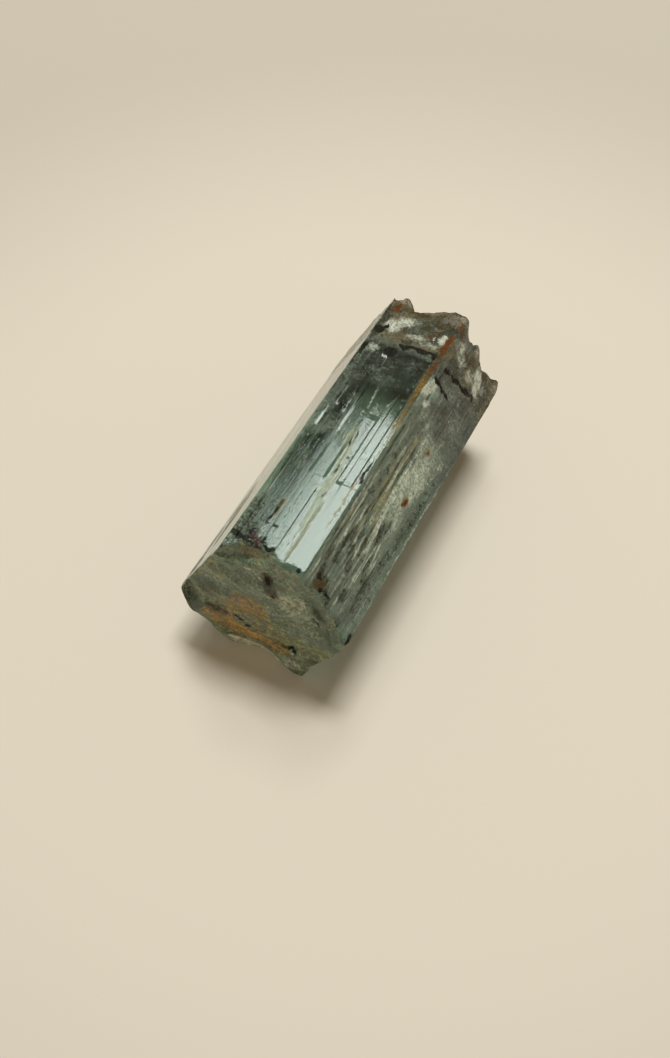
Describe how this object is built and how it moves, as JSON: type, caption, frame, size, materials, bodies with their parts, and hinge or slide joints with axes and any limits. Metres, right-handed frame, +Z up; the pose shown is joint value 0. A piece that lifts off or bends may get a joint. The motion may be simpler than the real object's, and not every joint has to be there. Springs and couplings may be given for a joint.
{
  "type": "aquamarine crystal",
  "caption": "Natural blue-green beryl prism with a six-sided section, broken across at one end and ragged at the other, lying on one long flat face.",
  "frame": {"origin": "bottom centre of the crystal's bounding box, in the flat face that it rests on", "axes": "+Z up from the rest face, +Y along the growth axis from the broken end to the ragged end, +X across"},
  "size_m": [0.0118, 0.025, 0.0111],
  "materials": {
    "aquamarine": "clear glassy blue-green beryl with fine lengthwise growth lines, frosted and iron-stained at the ends"
  },
  "bodies": {
    "root": {"aquamarine_crystal": "aquamarine"}
  },
  "joints": []
}
